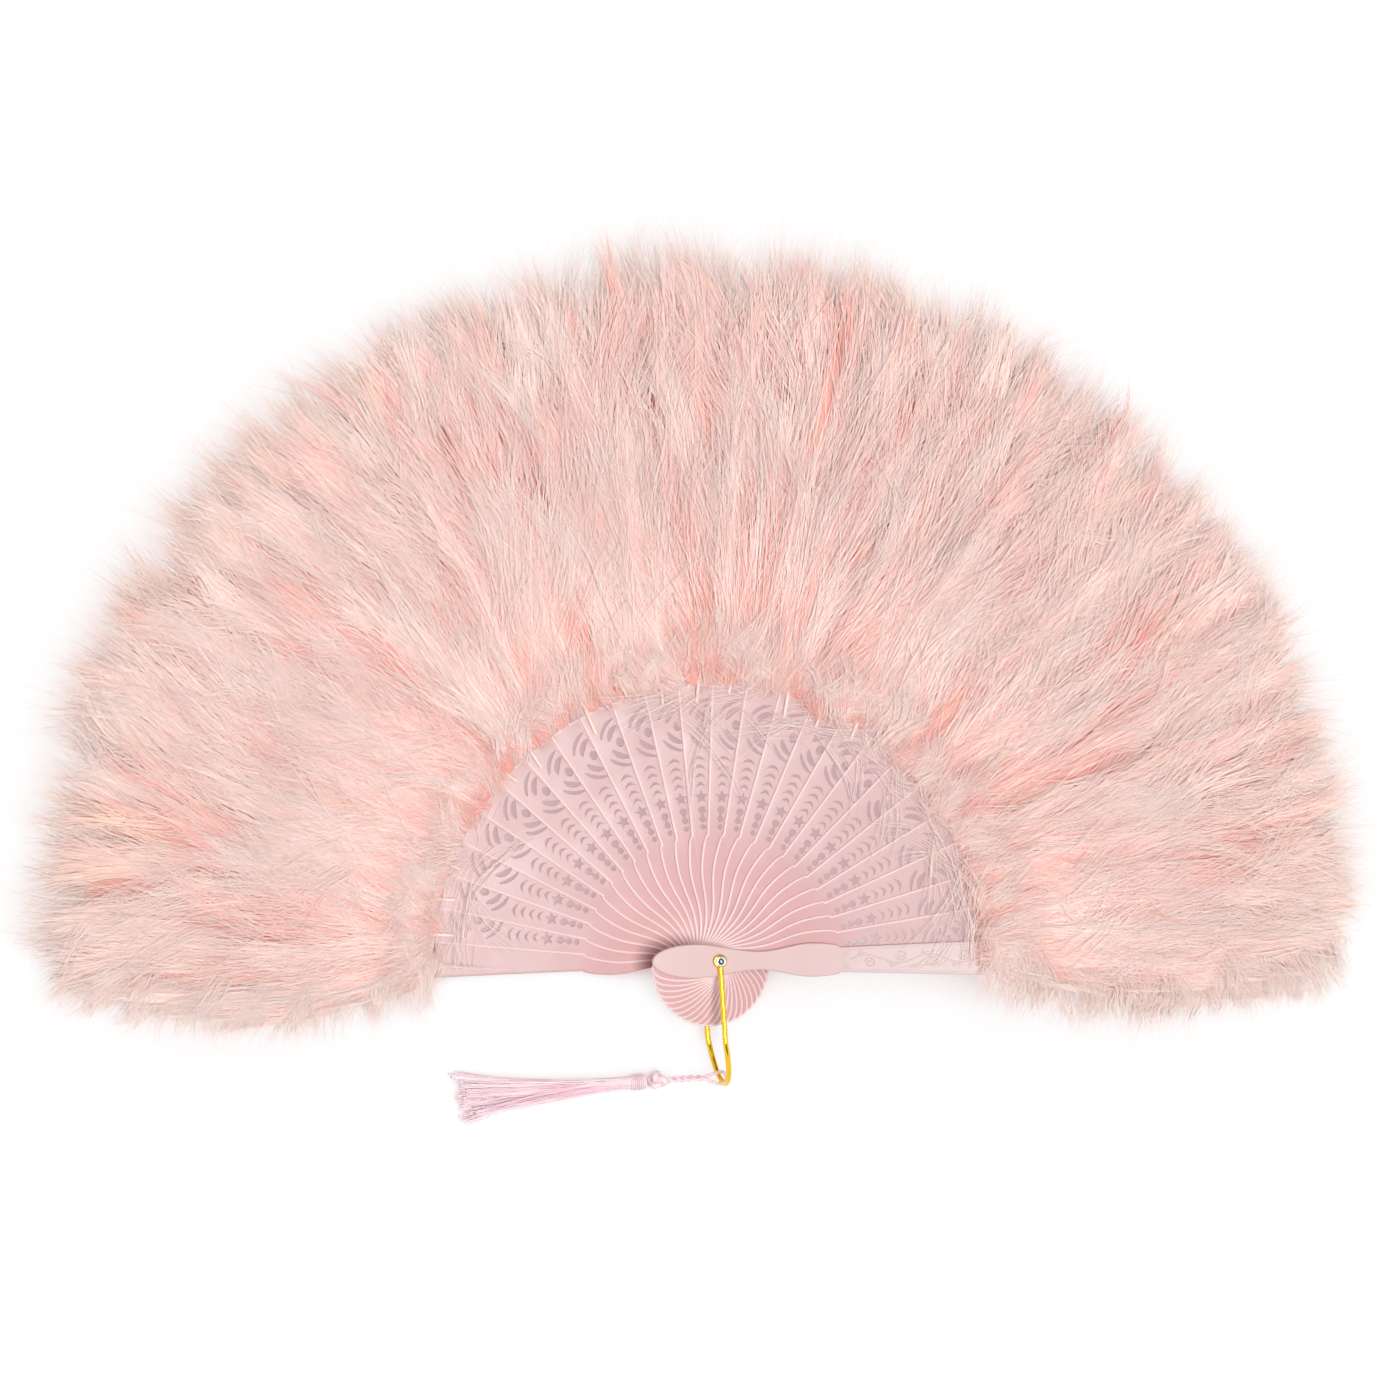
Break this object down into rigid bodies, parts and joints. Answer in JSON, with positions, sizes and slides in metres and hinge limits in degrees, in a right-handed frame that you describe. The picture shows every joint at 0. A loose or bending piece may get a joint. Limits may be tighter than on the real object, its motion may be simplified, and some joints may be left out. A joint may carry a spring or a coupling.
{
  "type": "feather fan",
  "caption": "Folding hand fan: pierced plastic sticks between two guards on one rivet, each ending in a fluffy plume, with a wire bail and a silk tassel. Spreads to a half circle.",
  "frame": {"origin": "on the rivet's axis at the flat back of its rear head, which lies level with the plumes' underside", "axes": "+X towards the front guard of the spread fan, +Y through the middle of the spread away from the tassel, +Z along the rivet towards the front guard"},
  "size_m": [0.5102, 0.3255, 0.048],
  "materials": {
    "stick_plastic": "satin pink",
    "guard_plastic": "satin pink",
    "feather": "fluffy down",
    "bail_gold": "polished gold plating",
    "rivet_steel": "bright",
    "silk": "silky thread"
  },
  "bodies": {
    "rear_guard": {"rear_guard": "guard_plastic", "rear_plume": "feather", "rivet": "rivet_steel"},
    "front_guard": {"front_guard": "guard_plastic", "front_plume": "feather"},
    "stick_01": {"stick_01": "stick_plastic", "plume_01": "feather"},
    "stick_02": {"stick_02": "stick_plastic", "plume_02": "feather"},
    "stick_03": {"stick_03": "stick_plastic", "plume_03": "feather"},
    "stick_04": {"stick_04": "stick_plastic", "plume_04": "feather"},
    "stick_05": {"stick_05": "stick_plastic", "plume_05": "feather"},
    "stick_06": {"stick_06": "stick_plastic", "plume_06": "feather"},
    "stick_07": {"stick_07": "stick_plastic", "plume_07": "feather"},
    "stick_08": {"stick_08": "stick_plastic", "plume_08": "feather"},
    "stick_09": {"stick_09": "stick_plastic", "plume_09": "feather"},
    "stick_10": {"stick_10": "stick_plastic", "plume_10": "feather"},
    "stick_11": {"stick_11": "stick_plastic", "plume_11": "feather"},
    "stick_12": {"stick_12": "stick_plastic", "plume_12": "feather"},
    "stick_13": {"stick_13": "stick_plastic", "plume_13": "feather"},
    "stick_14": {"stick_14": "stick_plastic", "plume_14": "feather"},
    "stick_15": {"stick_15": "stick_plastic", "plume_15": "feather"},
    "stick_16": {"stick_16": "stick_plastic", "plume_16": "feather"},
    "stick_17": {"stick_17": "stick_plastic", "plume_17": "feather"},
    "stick_18": {"stick_18": "stick_plastic", "plume_18": "feather"},
    "stick_19": {"stick_19": "stick_plastic", "plume_19": "feather"},
    "stick_20": {"stick_20": "stick_plastic", "plume_20": "feather"},
    "stick_21": {"stick_21": "stick_plastic", "plume_21": "feather"},
    "stick_22": {"stick_22": "stick_plastic", "plume_22": "feather"},
    "stick_23": {"stick_23": "stick_plastic", "plume_23": "feather"},
    "stick_24": {"stick_24": "stick_plastic", "plume_24": "feather"},
    "bail": {"bail": "bail_gold"},
    "tassel": {"tassel_cord": "silk", "tassel_knot": "silk", "tassel_collar": "silk", "tassel_skirt": "silk"}
  },
  "joints": [
    {"name": "fold", "type": "hinge", "parent": "rear_guard", "child": "front_guard", "pos_m": [0, 0, 0], "axis": [0, 0, 1], "range_deg": [0, 180], "deforming": ["plume_01", "plume_02", "plume_03", "plume_04", "plume_05", "plume_06", "plume_07", "plume_08", "plume_09", "plume_10", "plume_11", "plume_12", "plume_13", "plume_14", "plume_15", "plume_16", "plume_17", "plume_18", "plume_19", "plume_20", "plume_21", "plume_22", "plume_23", "plume_24", "front_plume", "rear_plume"]},
    {"name": "stick_01_fold", "type": "hinge", "parent": "rear_guard", "child": "stick_01", "pos_m": [0, 0, 0], "axis": [0, 0, 1], "range_deg": [0, 172.8]},
    {"name": "stick_02_fold", "type": "hinge", "parent": "rear_guard", "child": "stick_02", "pos_m": [0, 0, 0], "axis": [0, 0, 1], "range_deg": [0, 165.6]},
    {"name": "stick_03_fold", "type": "hinge", "parent": "rear_guard", "child": "stick_03", "pos_m": [0, 0, 0], "axis": [0, 0, 1], "range_deg": [0, 158.4]},
    {"name": "stick_04_fold", "type": "hinge", "parent": "rear_guard", "child": "stick_04", "pos_m": [0, 0, 0], "axis": [0, 0, 1], "range_deg": [0, 151.2]},
    {"name": "stick_05_fold", "type": "hinge", "parent": "rear_guard", "child": "stick_05", "pos_m": [0, 0, 0], "axis": [0, 0, 1], "range_deg": [0, 144]},
    {"name": "stick_06_fold", "type": "hinge", "parent": "rear_guard", "child": "stick_06", "pos_m": [0, 0, 0], "axis": [0, 0, 1], "range_deg": [0, 136.8]},
    {"name": "stick_07_fold", "type": "hinge", "parent": "rear_guard", "child": "stick_07", "pos_m": [0, 0, 0], "axis": [0, 0, 1], "range_deg": [0, 129.6]},
    {"name": "stick_08_fold", "type": "hinge", "parent": "rear_guard", "child": "stick_08", "pos_m": [0, 0, 0], "axis": [0, 0, 1], "range_deg": [0, 122.4]},
    {"name": "stick_09_fold", "type": "hinge", "parent": "rear_guard", "child": "stick_09", "pos_m": [0, 0, 0], "axis": [0, 0, 1], "range_deg": [0, 115.2]},
    {"name": "stick_10_fold", "type": "hinge", "parent": "rear_guard", "child": "stick_10", "pos_m": [0, 0, 0], "axis": [0, 0, 1], "range_deg": [0, 108]},
    {"name": "stick_11_fold", "type": "hinge", "parent": "rear_guard", "child": "stick_11", "pos_m": [0, 0, 0], "axis": [0, 0, 1], "range_deg": [0, 100.8]},
    {"name": "stick_12_fold", "type": "hinge", "parent": "rear_guard", "child": "stick_12", "pos_m": [0, 0, 0], "axis": [0, 0, 1], "range_deg": [0, 93.6]},
    {"name": "stick_13_fold", "type": "hinge", "parent": "rear_guard", "child": "stick_13", "pos_m": [0, 0, 0], "axis": [0, 0, 1], "range_deg": [0, 86.4]},
    {"name": "stick_14_fold", "type": "hinge", "parent": "rear_guard", "child": "stick_14", "pos_m": [0, 0, 0], "axis": [0, 0, 1], "range_deg": [0, 79.2]},
    {"name": "stick_15_fold", "type": "hinge", "parent": "rear_guard", "child": "stick_15", "pos_m": [0, 0, 0], "axis": [0, 0, 1], "range_deg": [0, 72]},
    {"name": "stick_16_fold", "type": "hinge", "parent": "rear_guard", "child": "stick_16", "pos_m": [0, 0, 0], "axis": [0, 0, 1], "range_deg": [0, 64.8]},
    {"name": "stick_17_fold", "type": "hinge", "parent": "rear_guard", "child": "stick_17", "pos_m": [0, 0, 0], "axis": [0, 0, 1], "range_deg": [0, 57.6]},
    {"name": "stick_18_fold", "type": "hinge", "parent": "rear_guard", "child": "stick_18", "pos_m": [0, 0, 0], "axis": [0, 0, 1], "range_deg": [0, 50.4]},
    {"name": "stick_19_fold", "type": "hinge", "parent": "rear_guard", "child": "stick_19", "pos_m": [0, 0, 0], "axis": [0, 0, 1], "range_deg": [0, 43.2]},
    {"name": "stick_20_fold", "type": "hinge", "parent": "rear_guard", "child": "stick_20", "pos_m": [0, 0, 0], "axis": [0, 0, 1], "range_deg": [0, 36]},
    {"name": "stick_21_fold", "type": "hinge", "parent": "rear_guard", "child": "stick_21", "pos_m": [0, 0, 0], "axis": [0, 0, 1], "range_deg": [0, 28.8]},
    {"name": "stick_22_fold", "type": "hinge", "parent": "rear_guard", "child": "stick_22", "pos_m": [0, 0, 0], "axis": [0, 0, 1], "range_deg": [0, 21.6]},
    {"name": "stick_23_fold", "type": "hinge", "parent": "rear_guard", "child": "stick_23", "pos_m": [0, 0, 0], "axis": [0, 0, 1], "range_deg": [0, 14.4]},
    {"name": "stick_24_fold", "type": "hinge", "parent": "rear_guard", "child": "stick_24", "pos_m": [0, 0, 0], "axis": [0, 0, 1], "range_deg": [0, 7.2]},
    {"name": "bail_swing", "type": "hinge", "parent": "rear_guard", "child": "bail", "pos_m": [0, 0, 0], "axis": [0, 0, 1], "range_deg": [-12, 65]},
    {"name": "tassel_swing", "type": "hinge", "parent": "bail", "child": "tassel", "pos_m": [0.00472, -0.0445, 0.011], "axis": [0, 0, 1], "range_deg": [0, 85]}
  ],
  "couplings": [
    {"joint": "stick_01_fold", "follows": "fold", "ratio": 0.96},
    {"joint": "stick_02_fold", "follows": "fold", "ratio": 0.92},
    {"joint": "stick_03_fold", "follows": "fold", "ratio": 0.88},
    {"joint": "stick_04_fold", "follows": "fold", "ratio": 0.84},
    {"joint": "stick_05_fold", "follows": "fold", "ratio": 0.8},
    {"joint": "stick_06_fold", "follows": "fold", "ratio": 0.76},
    {"joint": "stick_07_fold", "follows": "fold", "ratio": 0.72},
    {"joint": "stick_08_fold", "follows": "fold", "ratio": 0.68},
    {"joint": "stick_09_fold", "follows": "fold", "ratio": 0.64},
    {"joint": "stick_10_fold", "follows": "fold", "ratio": 0.6},
    {"joint": "stick_11_fold", "follows": "fold", "ratio": 0.56},
    {"joint": "stick_12_fold", "follows": "fold", "ratio": 0.52},
    {"joint": "stick_13_fold", "follows": "fold", "ratio": 0.48},
    {"joint": "stick_14_fold", "follows": "fold", "ratio": 0.44},
    {"joint": "stick_15_fold", "follows": "fold", "ratio": 0.4},
    {"joint": "stick_16_fold", "follows": "fold", "ratio": 0.36},
    {"joint": "stick_17_fold", "follows": "fold", "ratio": 0.32},
    {"joint": "stick_18_fold", "follows": "fold", "ratio": 0.28},
    {"joint": "stick_19_fold", "follows": "fold", "ratio": 0.24},
    {"joint": "stick_20_fold", "follows": "fold", "ratio": 0.2},
    {"joint": "stick_21_fold", "follows": "fold", "ratio": 0.16},
    {"joint": "stick_22_fold", "follows": "fold", "ratio": 0.12},
    {"joint": "stick_23_fold", "follows": "fold", "ratio": 0.08},
    {"joint": "stick_24_fold", "follows": "fold", "ratio": 0.04}
  ]
}
